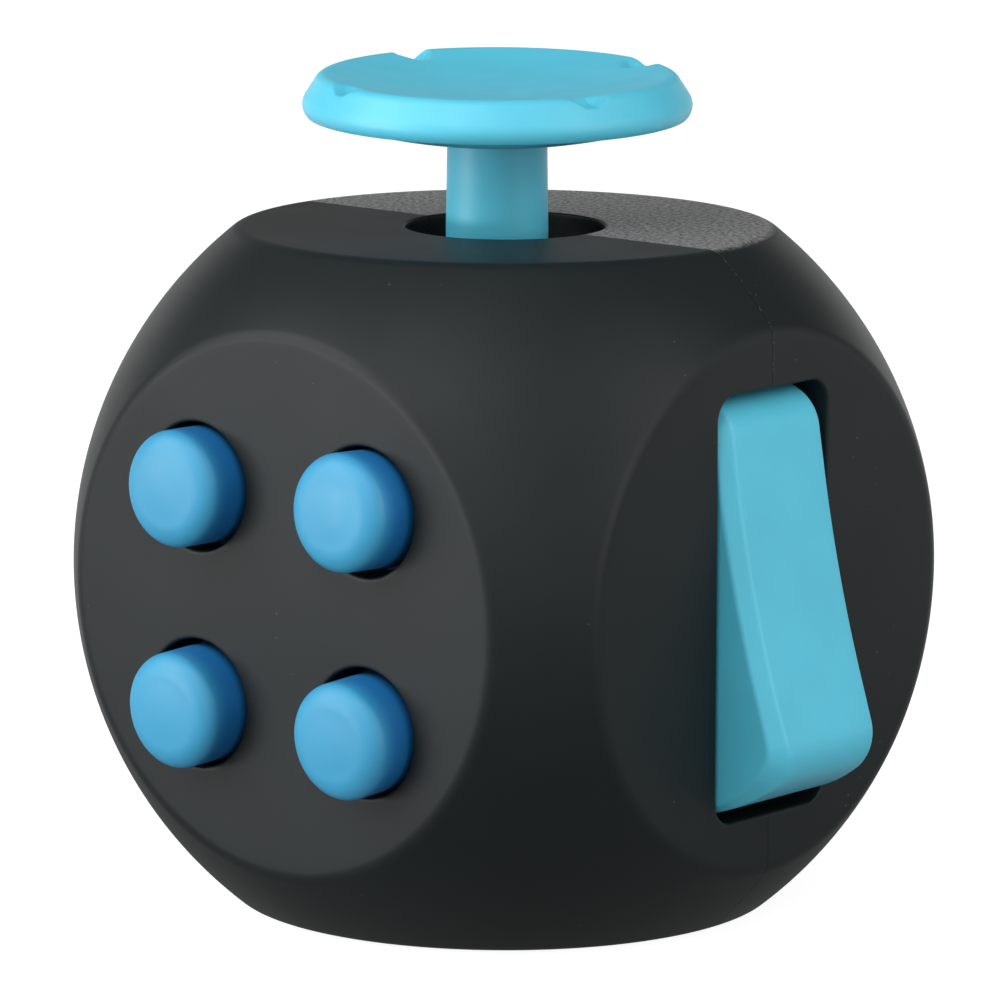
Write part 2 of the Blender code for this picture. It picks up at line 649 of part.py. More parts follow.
clear_scene()
smooth_black = material("smooth_black", (0.035, 0.038, 0.037), 0.55)
grained_black = material("grained_black", (0.05, 0.05, 0.05), 0.75)
turquoise = material("turquoise", (0.03, 0.33, 0.47), 0.45)
blue = material("blue", (0.03, 0.26, 0.52), 0.45)
white_nylon = material("white_nylon", (0.62, 0.62, 0.6), 0.5)
dark_nylon = material("dark_nylon", (0.08, 0.08, 0.085), 0.6)
steel = material("steel", (0.55, 0.56, 0.57), 0.3, 1.0)
spring_steel = material("spring_steel", (0.4, 0.4, 0.41), 0.35, 1.0)

quarter = math.pi / 2
centre = empty("cube_centre", (0, 0, FACE))
top_face = empty("top_face", parent=centre)
front_face = empty("front_face", turn=(quarter, 0, 0), parent=centre)
right_face = empty("right_face", turn=(0, quarter, 0), parent=centre)
left_face = empty("left_face", turn=(0, -quarter, 0), parent=centre)
rear_face = empty("rear_face", turn=(-quarter, 0, 0), parent=centre)
under_face = empty("under_face", turn=(2 * quarter, 0, 0), parent=centre)

make_casing()
make_thumb_pad()
make_joystick()
make_buttons()
make_rocker()
make_dial()
make_rollers()
make_ball()
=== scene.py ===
"""The fidget cube's looks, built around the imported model.

Shapes are written in millimetres, in the frame of the face that they belong to: +Z points out of that face
and heights count from the cube's centre. A piece's matrix then takes it to the row frame in metres.
"""

import json
import math

import bmesh
import bpy
from mathutils import Matrix, Vector


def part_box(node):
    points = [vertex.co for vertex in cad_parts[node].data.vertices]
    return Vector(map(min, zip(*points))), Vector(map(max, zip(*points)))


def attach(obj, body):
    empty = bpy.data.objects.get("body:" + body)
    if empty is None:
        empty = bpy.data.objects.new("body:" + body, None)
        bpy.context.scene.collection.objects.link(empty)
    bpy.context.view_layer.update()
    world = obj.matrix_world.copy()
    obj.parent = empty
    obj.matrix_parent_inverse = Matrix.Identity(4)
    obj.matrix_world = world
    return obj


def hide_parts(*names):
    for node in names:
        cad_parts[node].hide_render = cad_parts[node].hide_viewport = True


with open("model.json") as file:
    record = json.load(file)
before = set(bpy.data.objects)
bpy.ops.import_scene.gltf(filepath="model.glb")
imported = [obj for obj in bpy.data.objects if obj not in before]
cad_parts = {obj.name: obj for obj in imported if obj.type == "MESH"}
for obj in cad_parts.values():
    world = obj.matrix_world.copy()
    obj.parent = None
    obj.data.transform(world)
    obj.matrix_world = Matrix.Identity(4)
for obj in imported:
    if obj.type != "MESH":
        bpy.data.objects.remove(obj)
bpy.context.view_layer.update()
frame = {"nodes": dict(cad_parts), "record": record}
nodes = frame["nodes"]

# Frames
MM = 0.001
QUARTER = math.pi / 2
CASING_LOW, CASING_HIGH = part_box("front_shell")
FACE = (CASING_HIGH.x - CASING_LOW.x) / 2 / MM
CENTRE = Vector((0, 0, FACE * MM))
TOP = Matrix.Translation(CENTRE) @ Matrix.Scale(MM, 4)
FRONT = TOP @ Matrix.Rotation(QUARTER, 4, "X")
RIGHT = TOP @ Matrix.Rotation(QUARTER, 4, "Y")
LEFT = TOP @ Matrix.Rotation(-QUARTER, 4, "Y")
REAR = TOP @ Matrix.Rotation(-QUARTER, 4, "X")
UNDER = TOP @ Matrix.Rotation(2 * QUARTER, 4, "X")

# Casing
SPHERE = 21.0
WALL = 2.0
FILLET, INNER_FILLET = 1.05, 0.3
SEAM_HALF_GAP = 0.012
INSIDE_RIM, PAST_FILLET = 0.35, 0.6  # where the skin starts within a flat's rim; degrees past its fillet
LIP = 0.13
STICK_HOLE, BUTTON_HOLE, DIAL_HOLE, PAD_HOLE = 4.86, 3.1, 3.4, 9.6  # radii
ROCKER_SLOT, ROLLER_SLOT = (20.55, 8.3, 1.2), (11.2, 10.8, 0.8)  # length, width, corner radius
ROLLER_PLACE, BALL_PLACE = (0, -4.4), (0, 6.6)  # on the rear face
BALL_SOCKET, BALL_DEPTH = 3.75, 1.5  # radius, and depth of its centre below the flat

# Joystick
PIVOT = Vector((-0.3, -0.25, 9.5))
LEAN = Matrix.Rotation(math.radians(1.43), 4, "X") @ Matrix.Rotation(math.radians(1.2), 4, "Y")
STICK = TOP @ Matrix.Translation(PIVOT) @ LEAN
NOTCHES = 4
NOTCH_TURN, NOTCH_WINDOW = math.radians(-19), math.radians(10)
NOTCH_FLOOR_HALF, NOTCH_SOFTNESS = 0.3, 0.14
NOTCH_SHAPES = ((13.98, 1.15), (13.78, 1.2), (13.67, 0.97), (14.05, 1.1))  # floor height, half width
NOTCH_REACH, NOTCH_INNER = 1.3, 5  # how far below the crest, and down to what radius, a notch can cut
NOTCH_RAMP, NOTCH_RAMP_SLOPE = 8.0, 0.5  # inside this radius the floor of a notch rises at this slope
CREST, CREST_RADIUS = (8.37, 14.46), 0.55
EQUATOR, EQUATOR_RADIUS = (9.42, 12.99), 0.8
DISH_LOW, CAP_UNDER = 13.55, 11.39  # heights of the dish's middle and of the underside by the stem

# Buttons
BUTTON_PITCH = 10.5
BUTTON_RADIUS, BUTTON_PROUD = 2.81, 2.35
BUTTON_EDGE = (1.25, 0.85)  # how far the rounded edge reaches in, and down
BUTTON_DOME, BUTTON_FLANGE_RADIUS = 0.1, 3.6
BUTTON_TILTS = ((-1.1, -0.4), (-2.5, -1.3), (2.4, -1.0), (3.1, -1.0))  # degrees: nod, swing

# Rocker
ROCKER_PIN_RADIUS = 0.75
ROCKER_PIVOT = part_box("rocker_pin")[0].x / MM + ROCKER_PIN_RADIUS
ROCKER_TILT = math.radians(13.4)
ROCKER_HALF_WIDTH = 3.95
ROCKER_SHIFT = 0.12  # off the middle of the flat, away from the buttons
ROCKER_CHAMFER = 0.2  # 1 is a round edge, 0 a sharp flat chamfer
ROCKER_FACE_RADIUS, ROCKER_MIDDLE = 70.0, 4.75  # of the hollow face, and its middle's distance from the pin
ROCKER_CORNER_RADIUS = 2.0
ROCKER_END_RADIUS, ROCKER_END_TURN = 10.07, 89

# Dial, rollers, ball and pad
DIAL_RADIUS, DIAL_BASE, DIAL_TOP = 7.2, FACE + 0.4, FACE + 3.2
DIAL_FLUTES, FLUTE_DEPTH, FLUTE_HALF_WIDTH = 12, 0.55, 1.0
ROLLER_TEETH, ROLLER_TIP, ROLLER_ROOT, ROLLER_HALF_WIDTH = 14, 5.2, 4.5, 1.6
ROLLER_FILLET, ROLLER_BORE, TOOTH_STEPS = 0.18, 1.05, 16
BALL_RADIUS = 3.5
PAD_RADIUS, PAD_RIM, PAD_DISH = 9.3, FACE - 0.2, 2.4


# ---------------------------------------------------------------- mesh tools

def loop(bm, points, matrix=Matrix.Identity(4)):
    return [bm.verts.new(matrix @ Vector(p)) for p in points]


def bridge(bm, a, b):
    """Quads between two loops of the same length."""
    for i in range(len(a)):
        j = (i + 1) % len(a)
        bm.faces.new((a[i], a[j], b[j], b[i]))


def loop_edges(bm, verts):
    pairs = zip(verts, verts[1:] + verts[:1])
    return [bm.edges.get(p) or bm.edges.new(p) for p in pairs]


def fill(bm, loops, normal):
    """The flat region between the loops."""
    edges = [e for verts in loops for e in loop_edges(bm, verts)]
    bmesh.ops.triangle_fill(bm, use_beauty=True, edges=edges, normal=normal)


def circle(radius, height, count, centre=(0, 0)):
    angles = [2 * math.pi * i / count for i in range(count)]
    return [(centre[0] + radius * math.cos(a), centre[1] + radius * math.sin(a), height) for a in angles]


def arc(radius, start, end, steps, centre=(0, 0)):
    """Points along an arc, angles in degrees from the first axis."""
    angles = [math.radians(start + (end - start) * i / steps) for i in range(steps + 1)]
    return [(centre[0] + radius * math.cos(a), centre[1] + radius * math.sin(a)) for a in angles]


def between(a, b, steps):
    """Points between two others, without them."""
    return [tuple(Vector(a).lerp(Vector(b), k / steps)) for k in range(1, steps)]


def rounded_rectangle(width, length, radius, height, centre):
    steps = 10
    points = []
    for k, (sx, sy) in enumerate(((1, 1), (-1, 1), (-1, -1), (1, -1))):
        middle = (centre[0] + sx * (width / 2 - radius), centre[1] + sy * (length / 2 - radius))
        points += [(x, y, height) for x, y in arc(radius, 90 * k, 90 * k + 90, steps, middle)]
    return points


def smooth_curve(points, steps):
    """A Catmull-Rom curve through the points."""
    points = [Vector(p) for p in points]
    padded = [2 * points[0] - points[1], *points, 2 * points[-1] - points[-2]]
    out = []
    for a, b, c, d in zip(padded, padded[1:], padded[2:], padded[3:]):
        for k in range(steps):
            t = k / steps
            out.append(0.5 * (2 * b + (c - a) * t + (2 * a - 5 * b + 4 * c - d) * t**2
                              + (3 * b - a - 3 * c + d) * t**3))
    return [tuple(p) for p in out + [points[-1]]]


def lathe(profile, angles, shape=None):
    """A solid turned about Z from (radius, height) points, at so many angles or at the listed ones.

    shape, if given, moves each (x, y, z).
    """
    if isinstance(angles, int):
        angles = [2 * math.pi * i / angles for i in range(angles)]
    bm = bmesh.new()
    rows = []
    for radius, height in profile:
        if radius < 1e-6:
            rows.append(loop(bm, [(0, 0, height)]))
            continue
        points = [(radius * math.cos(a), radius * math.sin(a), height) for a in angles]
        rows.append(loop(bm, [shape(*p) for p in points] if shape else points))
    for a, b in zip(rows, rows[1:]):
        if len(a) == len(b):
            bridge(bm, a, b)
            continue
        tip, ring = (a, b) if len(a) == 1 else (b, a)
        for i in range(len(ring)):
            bm.faces.new((tip[0], ring[i], ring[(i + 1) % len(ring)]))
    if len(rows[0]) > 1:
        bridge(bm, rows[-1], rows[0])
    return bm


def dish(radius, edge, depth, steps):
    """(radius, height) points of a spherical dish, from its middle out to its edge."""
    curve = (radius**2 + depth**2) / (2 * depth)
    out = [radius * i / steps for i in range(steps + 1)]
    return [(r, edge - depth + curve - math.sqrt(curve**2 - r**2)) for r in out]


def piece(name, bm, matrix, finish, body, replaced, sharp=35):
    """Makes a shape into one visible piece, with edges sharper than that many degrees left crisp."""
    bmesh.ops.remove_doubles(bm, verts=bm.verts, dist=1e-4)
    bmesh.ops.recalc_face_normals(bm, faces=bm.faces)
    bm.transform(matrix)
    mesh = bpy.data.meshes.new(name)
    bm.to_mesh(mesh)
    bm.free()
    mesh.shade_smooth()
    mesh.set_sharp_from_angle(angle=math.radians(sharp))
    mesh.materials.append(finish)
    made = bpy.data.objects.new(name, mesh)
    bpy.context.scene.collection.objects.link(made)
    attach(made, body)
    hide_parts(*replaced)


# ---------------------------------------------------------------- materials

class Finish:
    """A Principled material and short ways to add nodes to it. Distances in its textures are millimetres."""

    def __init__(self, name, colour, roughness, metallic=0.0, specular=0.5):
        self.material = bpy.data.materials.new(name)
        self.material.use_nodes = True
        self.tree = self.material.node_tree
        self.shader = self.tree.nodes["Principled BSDF"]
        self.shader.inputs["Base Color"].default_value = (*colour, 1)
        self.shader.inputs["Roughness"].default_value = roughness
        self.shader.inputs["Metallic"].default_value = metallic
        self.shader.inputs["Specular IOR Level"].default_value = specular
        coordinates = self.add("ShaderNodeTexCoord")
        scale = self.add("ShaderNodeVectorMath", operation="SCALE")
        scale.inputs["Scale"].default_value = 1 / MM
        self.link(coordinates.outputs["Object"], scale.inputs[0])
        self.place = scale.outputs[0]

    def add(self, kind, **settings):
        made = self.tree.nodes.new(kind)
        for key, value in settings.items():
            setattr(made, key, value)
        return made

    def link(self, a, b):
        self.tree.links.new(a, b)

    def noise(self, size, detail=2.0, roughness=0.5):
        """Noise with blotches of about that size."""
        made = self.add("ShaderNodeTexNoise")
        made.inputs["Scale"].default_value = 1 / size
        made.inputs["Detail"].default_value = detail
        made.inputs["Roughness"].default_value = roughness
        self.link(self.place, made.inputs["Vector"])
        return made.outputs["Fac"]

    def specks(self, spacing, size, cover):
        """1 in small round specks, in that share of the cells of a Voronoi pattern, and 0 elsewhere."""
        cells = self.add("ShaderNodeTexVoronoi")
        cells.inputs["Scale"].default_value = 1 / spacing
        self.link(self.place, cells.inputs["Vector"])
        spots = self.remap(cells.outputs["Distance"], size / spacing, size / spacing * 0.5, 0, 1)
        split = self.add("ShaderNodeSeparateColor")
        self.link(cells.outputs["Color"], split.inputs[0])
        return self.times(spots, self.remap(split.outputs[0], 1 - cover, 1 - cover + 0.02, 0, 1))

    def remap(self, value, low, high, to_low, to_high, smooth=False):
        made = self.add("ShaderNodeMapRange", interpolation_type="SMOOTHSTEP" if smooth else "LINEAR")
        for socket, number in zip(("From Min", "From Max", "To Min", "To Max"), (low, high, to_low, to_high)):
            made.inputs[socket].default_value = number
        self.link(value, made.inputs["Value"])
        return made.outputs["Result"]

    def maths(self, operation, a, b):
        made = self.add("ShaderNodeMath", operation=operation)
        for socket, value in zip(made.inputs, (a, b)):
            if isinstance(value, (int, float)):
                socket.default_value = value
            else:
                self.link(value, socket)
        return made.outputs[0]

    def times(self, a, b):
        return self.maths("MULTIPLY", a, b)

    def mix(self, factor, a, b):
        """Colour a where factor is 0 and b where it is 1. Each is a colour or a socket."""
        made = self.add("ShaderNodeMix", data_type="RGBA")
        self.link(factor, made.inputs["Factor"])
        for socket, colour in zip((made.inputs[6], made.inputs[7]), (a, b)):
            if isinstance(colour, tuple):
                socket.default_value = (*colour, 1)
            else:
                self.link(colour, socket)
        return made.outputs[2]

    def colour(self, socket):
        self.link(socket, self.shader.inputs["Base Color"])

    def roughness(self, socket):
        self.link(socket, self.shader.inputs["Roughness"])

    def bump(self, height, distance, strength):
        """Adds a bump of that many millimetres on top of any earlier one."""
        made = self.add("ShaderNodeBump")
        made.inputs["Strength"].default_value = strength
        made.inputs["Distance"].default_value = distance * MM
        self.link(height, made.inputs["Height"])
        earlier = self.shader.inputs["Normal"].links
        if earlier:
            self.link(earlier[0].from_socket, made.inputs["Normal"])
        self.link(made.outputs["Normal"], self.shader.inputs["Normal"])


def shade(colour, factor):
    return tuple(c * factor for c in colour)


def soft_touch(name, colour):
    """Smooth rubber-like coating: hardly any grain, faint cloudy wear and a few dust specks."""
    f = Finish(name, colour, 0.46, specular=0.25)
    cloud = f.remap(f.noise(6, 3), 0.35, 0.65, 0, 1)
    base = f.mix(cloud, shade(colour, 0.93), shade(colour, 1.07))
    dust = f.times(f.specks(1.1, 0.04, 0.25), 0.5)
    f.colour(f.mix(dust, base, (0.25, 0.25, 0.25)))
    f.roughness(f.remap(f.noise(9, 4), 0.3, 0.7, 0.44, 0.5))
    f.bump(f.noise(0.12, 2), 0.003, 0.6)
    return f


def spark_texture(name, colour):
    """The same coating, with coarse spark-eroded grain on the upper flat and rubbed specks elsewhere."""
    f = soft_touch(name, colour)
    split = f.add("ShaderNodeSeparateXYZ")
    f.link(f.place, split.inputs[0])
    y, z = split.outputs[1:]
    height = 2 * FACE
    flat = f.add("ShaderNodeVectorMath", operation="MULTIPLY")
    flat.inputs[1].default_value = (1, 1, 0)
    f.link(f.place, flat.inputs[0])
    out = f.add("ShaderNodeVectorMath", operation="LENGTH")
    f.link(flat.outputs[0], out.inputs[0])
    # Grain: only on the flat itself, clear of the stick's hole
    clear_of_hole = f.remap(out.outputs["Value"], STICK_HOLE + 0.04, STICK_HOLE + 0.14, 0, 1)
    top = f.times(f.remap(z, height - 0.16, height - 0.03, 0, 1, smooth=True), clear_of_hole)
    grain = f.noise(0.22, 3, 0.65)
    tips = f.times(f.remap(grain, 0.38, 0.66, 0, 1), top)
    earlier = f.shader.inputs["Base Color"].links[0].from_socket
    # The grain's tips are paler: partly their own grey, partly painted highlight of light glancing across the
    # flat
    pale_tips_and_highlight = f.mix(tips, earlier, (0.13, 0.128, 0.12))
    # Rubbed specks in patches, and a broken line of painted highlight along the upper parting line, where its
    # edge catches light
    specks = f.times(f.specks(0.55, 0.05, 0.35), f.remap(f.noise(3, 2), 0.45, 0.62, 0, 0.5))
    line = f.times(f.remap(y, 0.22, 0.0, 0, 1), f.remap(z, height - 9, height - 7, 0, 1))
    seam_highlight = f.times(line, f.remap(f.noise(0.14, 2), 0.56, 0.66, 0, 0.35))
    specks_and_seam_highlight = f.maths("MAXIMUM", specks, seam_highlight)
    f.colour(f.mix(specks_and_seam_highlight, pale_tips_and_highlight, (0.22, 0.22, 0.22)))
    # The tips of the grain catch the light
    sheen = f.times(f.remap(grain, 0.4, 0.6, 0.06, 0.44), top)
    f.link(sheen, f.shader.inputs["Sheen Weight"])
    f.shader.inputs["Sheen Roughness"].default_value = 0.4
    f.bump(f.times(grain, top), 0.04, 0.6)
    return f


def moulded(name, colour, roughness):
    """Satin moulded plastic: a fine even grain, and a slight change of tone from place to place."""
    f = Finish(name, colour, roughness)
    tone = f.remap(f.noise(4, 3), 0.3, 0.7, 0, 1)
    f.colour(f.mix(tone, shade(colour, 0.96), shade(colour, 1.04)))
    f.roughness(f.remap(f.noise(1.5, 3), 0.3, 0.7, roughness - 0.04, roughness + 0.04))
    f.bump(f.noise(0.09, 2), 0.004, 0.7)
    return f


def button_blue(name, tip, shaded_side, roughness):
    """Moulded plastic, with painted shade: darker and bluer down the sides, and near black inside the casing.
    """
    f = moulded(name, tip, roughness)
    split = f.add("ShaderNodeSeparateXYZ")
    f.link(f.place, split.inputs[0])
    front = -FACE - BUTTON_PROUD
    # Painted shade: away from the front the colour turns to the darker, bluer one of the sides
    depth = f.remap(split.outputs[1], front + 0.25, front + 1.7, 0, 1, smooth=True)
    earlier = f.shader.inputs["Base Color"].links[0].from_socket
    side = f.mix(depth, earlier, shaded_side)
    # Painted shade: near black inside the casing, where the gap round the button lies in shadow
    inside = f.remap(split.outputs[1], -FACE, -FACE + 0.8, 0, 1)
    f.colour(f.mix(inside, side, shade(shaded_side, 0.3)))
    return f


def polished_metal(name, colour, roughness):
    """Bright metal with hairline scratches and a slightly uneven polish."""
    f = Finish(name, colour, roughness, 1.0)
    f.colour(f.mix(f.noise(1.0, 3), shade(colour, 0.94), shade(colour, 1.05)))
    f.roughness(f.remap(f.noise(0.4, 4), 0.3, 0.7, roughness * 0.8, roughness * 1.3))
    f.bump(f.noise(0.02, 2), 0.001, 0.4)
    return f


BLACK = (0.0076, 0.0112, 0.0114)
soft_black = soft_touch("soft_touch_black", BLACK).material
spark_black = spark_texture("spark_textured_black", BLACK).material
turquoise = moulded("turquoise_plastic", (0.085, 0.52, 0.69), 0.45).material
# The buttons' second colour is the painted shade down their sides
blue = button_blue("blue_plastic", (0.035, 0.30, 0.51), (0.008, 0.15, 0.40), 0.5).material
white_nylon = moulded("white_nylon", (0.62, 0.62, 0.6), 0.45).material
dark_nylon = moulded("dark_nylon", (0.012, 0.012, 0.013), 0.6).material
steel = polished_metal("polished_steel", (0.6, 0.61, 0.62), 0.18).material
spring_steel = polished_metal("drawn_steel", (0.4, 0.4, 0.41), 0.35).material


# ---------------------------------------------------------------- casing

def skin_profile(half, sphere, fillet, steps):
    """(radius, height) from just inside a flat's rim, round its fillet, to just inside the sphere's part."""
    height = half - fillet
    radius = math.sqrt((sphere - fillet) ** 2 - height**2)
    end = math.degrees(math.atan2(height, radius))
    rim = arc(fillet, 90, end, steps, (radius, height))
    past = math.radians(end - PAST_FILLET)
    return [(radius - INSIDE_RIM, half), *rim, (sphere * math.cos(past), sphere * math.sin(past))]


def skin_patch(bm, frame_matrix, half, sphere, fillet, count, steps, spans):
    """One face's sixth of the skin, out to where the next sixths begin. Returns the loop round its flat."""
    angles = [2 * math.pi * i / count for i in range(count)]
    profile = skin_profile(half, sphere, fillet, steps)
    rows = []
    for r, h in profile:
        rows.append(loop(bm, [(r * math.cos(a), r * math.sin(a), h) for a in angles], frame_matrix))
    start = math.atan2(*profile[-1])
    ends = [math.atan(1 / max(abs(math.cos(a)), abs(math.sin(a)))) for a in angles]
    for k in range(1, spans + 1):
        row = []
        for a, end in zip(angles, ends):
            lean = start + (end - start) * k / spans
            out = sphere * math.sin(lean)
            row.append((out * math.cos(a), out * math.sin(a), sphere * math.cos(lean)))
        rows.append(loop(bm, row, frame_matrix))
    for a, b in zip(rows, rows[1:]):
        bridge(bm, a, b)
    return rows[0]


def lip_rings():
    """(growth, depth) of the loops down a plain hole: a flat ring, a rounded lip and the wall."""
    steps = 5
    turns = [QUARTER * k / steps for k in range(steps + 1)]
    lips = [(LIP * (1 - math.sin(t)), LIP * (1 - math.cos(t))) for t in turns]
    return [(LIP + 0.12, 0), *lips, (0, LIP + 0.15), (0, WALL)]


def round_hole(radius, centre=(0, 0), rings=None):
    return [circle(radius + grow, FACE - depth, 96, centre) for grow, depth in rings or lip_rings()]


def slot_hole(length, width, corner, centre):
    return [
        rounded_rectangle(length + 2 * grow, width + 2 * grow, corner + grow, FACE - depth, centre)
        for grow, depth in lip_rings()
    ]


def button_places():
    half = BUTTON_PITCH / 2
    return [(x * half, y * half) for y in (1, -1) for x in (-1, 1)]


def face_holes():
    """The holes in each face: each hole is its loops, from the outer flat down to the inner one."""
    opening = math.sqrt(BALL_SOCKET**2 - BALL_DEPTH**2)
    socket = [(0.25, 0), (0.12, 0), (0.04, 0.03), (0, 0.1)]
    for depth in (0.5, 1.0, 1.5, WALL):
        socket.append((math.sqrt(BALL_SOCKET**2 - (BALL_DEPTH - depth) ** 2) - opening, depth))
    return [
        (TOP, [round_hole(STICK_HOLE)]),
        (FRONT, [round_hole(BUTTON_HOLE, place) for place in button_places()]),
        (RIGHT, [slot_hole(*ROCKER_SLOT, (0, ROCKER_SHIFT))]),
        (LEFT, [round_hole(DIAL_HOLE)]),
        (REAR, [slot_hole(*ROLLER_SLOT, ROLLER_PLACE), round_hole(opening, BALL_PLACE, socket)]),
        (UNDER, [round_hole(PAD_HOLE)]),
    ]


def make_casing():
    """The whole skin, built once for each half and then cut at the parting plane."""
    for name, side, finish, slot in (
        ("front_shell", -1, soft_black, "smooth_black"),
        ("rear_shell", 1, spark_black, "grained_black"),
    ):
        bm = bmesh.new()
        for matrix, holes in face_holes():
            turn = TOP.inverted() @ matrix
            outer = skin_patch(bm, turn, FACE, SPHERE, FILLET, 192, 8, 10)
            inner = skin_patch(bm, turn, FACE - WALL, SPHERE - WALL, INNER_FILLET, 96, 2, 5)
            mouths, ends = [outer], [inner]
            for hole in holes:
                rings = [loop(bm, points, turn) for points in hole]
                for a, b in zip(rings, rings[1:]):
                    bridge(bm, a, b)
                mouths.append(rings[0])
                ends.append(rings[-1])
            normal = turn.to_3x3() @ Vector((0, 0, 1))
            fill(bm, mouths, normal)
            fill(bm, ends, -normal)
        bmesh.ops.remove_doubles(bm, verts=bm.verts, dist=1e-4)
        everything = bm.verts[:] + bm.edges[:] + bm.faces[:]
        cut = bmesh.ops.bisect_plane(
            bm, geom=everything, dist=1e-6, plane_co=(0, side * SEAM_HALF_GAP, 0), plane_no=(0, -side, 0),
            clear_outer=True,
        )["geom_cut"]
        edges = [e for e in cut if isinstance(e, bmesh.types.BMEdge)]
        bmesh.ops.triangle_fill(bm, use_beauty=True, edges=edges, normal=(0, -side, 0))
        piece(f"{name}_skin", bm, TOP, finish, "casing", [name], 40)


def make_thumb_pad():
    face = dish(PAD_RADIUS - 0.7, PAD_RIM - 0.02, PAD_DISH, 24)
    rim = [*arc(0.35, 70, 0, 6, (PAD_RADIUS - 0.35, PAD_RIM - 0.35)), (PAD_RADIUS, FACE - WALL - 0.3)]
    flange = [(10.2, FACE - WALL - 0.3), (10.2, FACE - WALL - 1.2)]
    inside = dish(PAD_RADIUS - 0.6, PAD_RIM - 2.7, 1.2, 8)[::-1]
    bm = lathe(face + rim + flange + inside, 128)
    piece("thumb_pad_skin", bm, UNDER, soft_black, "casing", ["thumb_pad"])


# ---------------------------------------------------------------- joystick

def notch_angles():
    """Angles round the cap, closer together across each notch."""
    fine, coarse = 56, 44
    angles = []
    rest = 2 * math.pi / NOTCHES - 2 * NOTCH_WINDOW
    for k in range(NOTCHES):
        middle = NOTCH_TURN + 2 * math.pi * k / NOTCHES
        angles += [middle - NOTCH_WINDOW + 2 * NOTCH_WINDOW * i / fine for i in range(fine)]
        angles += [middle + NOTCH_WINDOW + rest * i / coarse for i in range(coarse)]
    return angles


def soft_min(a, b, blend):
    """The lesser of two heights, rounded off where they are close."""
    near = max(0, blend - abs(a - b)) / blend
    return min(a, b) - near * near * blend / 4


def notched(x, y, z):
    """Lowers a point of the cap's upper side to the floor or the slope of the nearest notch."""
    radius, angle = math.hypot(x, y), math.atan2(y, x)
    step = 2 * math.pi / NOTCHES
    turned = angle - NOTCH_TURN + step / 2
    off = turned % step - step / 2
    across = abs(radius * math.sin(off))
    if z < CREST[1] - NOTCH_REACH or radius < NOTCH_INNER or abs(off) > step / 4:
        return x, y, z
    floor, half = NOTCH_SHAPES[int(turned // step) % NOTCHES]
    slope = max(0, across - NOTCH_FLOOR_HALF) / (half - NOTCH_FLOOR_HALF) * (CREST[1] - floor)
    ramp = max(0, NOTCH_RAMP - radius) * NOTCH_RAMP_SLOPE
    return x, y, soft_min(z, floor + slope + ramp, NOTCH_SOFTNESS)


def make_joystick():
    crest_r, crest_h = CREST
    crest = arc(CREST_RADIUS, 102, 35, 12, (crest_r - 0.05, crest_h - CREST_RADIUS))
    equator = arc(EQUATOR_RADIUS, 35, -42, 14, (EQUATOR[0] - EQUATOR_RADIUS, EQUATOR[1]))
    flank = between(crest[-1], equator[0], 12)
    floor = dish(crest[0][0], crest[0][1], crest[0][1] - DISH_LOW, 44)
    underside = [(8.8, 12.43), (8.4, 12.34), (8.0, 12.25), (7.0, 11.99), (6.0, 11.76), (5.0, 11.57),
                 (4.0, 11.45), (2.4, CAP_UNDER)]
    under = smooth_curve([equator[-1], *underside], 4)
    edge = [*crest, *flank, *equator, *under[1:]]
    bore = [(1.6, CAP_UNDER), (1.6, CAP_UNDER + 1.4), (0, CAP_UNDER + 1.4)]
    bm = lathe(floor[:-1] + edge + bore, notch_angles(), notched)
    piece("joystick_cap_skin", bm, STICK, turquoise, "stick", ["joystick_cap"], 32)
    hub = [(r, h) for h, r in arc(2.3, 40, 140, 16)]
    spigot = [(0, 12.4), (1.4, 12.4), (1.4, 11.37)]
    shaft = [(2.42, 11.37), (2.42, 11.3), (2.48, 7), (2.48, 5.3), (2.44, 5.12), (1.56, 4.28), (1.5, 4.1)]
    tail = [(1.1, -2.1), (1.1, -3.5), (1.0, -3.6), (0, -3.6)]
    bm = lathe([*spigot, *shaft, *hub, *tail], 96)
    piece("joystick_stem_skin", bm, STICK, turquoise, "stick", ["joystick_stem"])


# ---------------------------------------------------------------- buttons

def make_buttons():
    front = FACE + BUTTON_PROUD
    inner = FACE - WALL - 0.2
    flange = inner - 0.4
    wide, tall = BUTTON_EDGE
    flat = BUTTON_RADIUS - wide
    crown = [(flat * k / 5, front - BUTTON_DOME * (k / 5) ** 2) for k in range(6)]
    edge = [(flat + wide * x, front - BUTTON_DOME - tall + tall * y) for x, y in arc(1, 84, 0, 16)]
    back = [(BUTTON_RADIUS, flange), (BUTTON_FLANGE_RADIUS, flange), (BUTTON_FLANGE_RADIUS, flange - 0.5),
            (1.0, flange - 0.5), (1.0, 9.7), (0.9, 9.6), (0, 9.6)]
    for i, ((x, y), (nod, swing)) in enumerate(zip(button_places(), BUTTON_TILTS), 1):
        seat = Matrix.Translation((x, y, inner))
        tilt = Matrix.Rotation(math.radians(nod), 4, "X") @ Matrix.Rotation(math.radians(swing), 4, "Y")
        bm = lathe(crown + edge + back, 112)
        matrix = FRONT @ seat @ tilt @ Matrix.Translation((0, 0, -inner))
        piece(f"button_{i}_skin", bm, matrix, blue, f"button_{i}", [f"button_{i}"])


# ---------------------------------------------------------------- rocker

